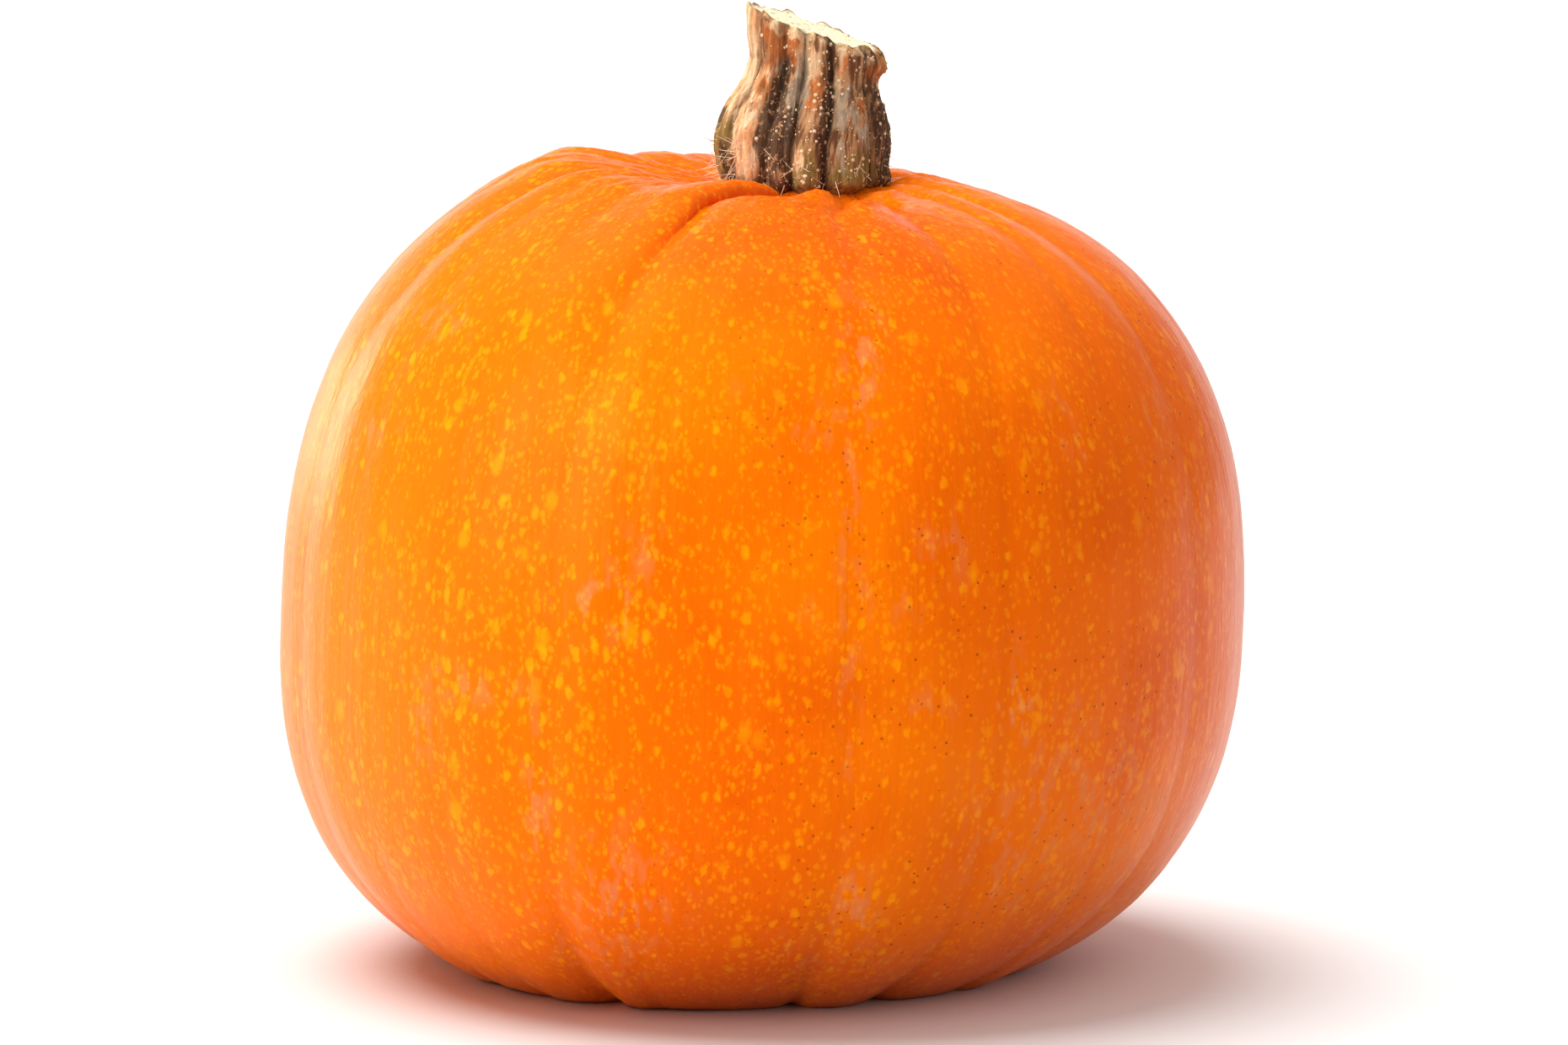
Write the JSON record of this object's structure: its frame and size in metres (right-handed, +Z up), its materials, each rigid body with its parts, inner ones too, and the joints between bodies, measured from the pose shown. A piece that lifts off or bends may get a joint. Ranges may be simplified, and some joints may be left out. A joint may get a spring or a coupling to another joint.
{
  "type": "pumpkin",
  "caption": "Small whole ribbed orange pumpkin with a ridged woody stem cut at a slant, resting on its own lobes.",
  "frame": {"origin": "middle of the bounding box in X and Y, on the surface that the pumpkin rests on", "axes": "+Z up from the surface through the crown and stem, -Y the front, +X the side that the cut stem slopes down to"},
  "size_m": [0.1894, 0.189, 0.1886],
  "materials": {
    "rind": "waxy semi-gloss orange rind with yellow flecks, darker furrows and dull scuffs",
    "stem_bark": "dry matt ridged stalk, tan to olive grey with brown furrows, pale warts, fine hairs and a pale cut end"
  },
  "bodies": {
    "root": {"fruit": "rind", "stem": "stem_bark"}
  },
  "joints": []
}
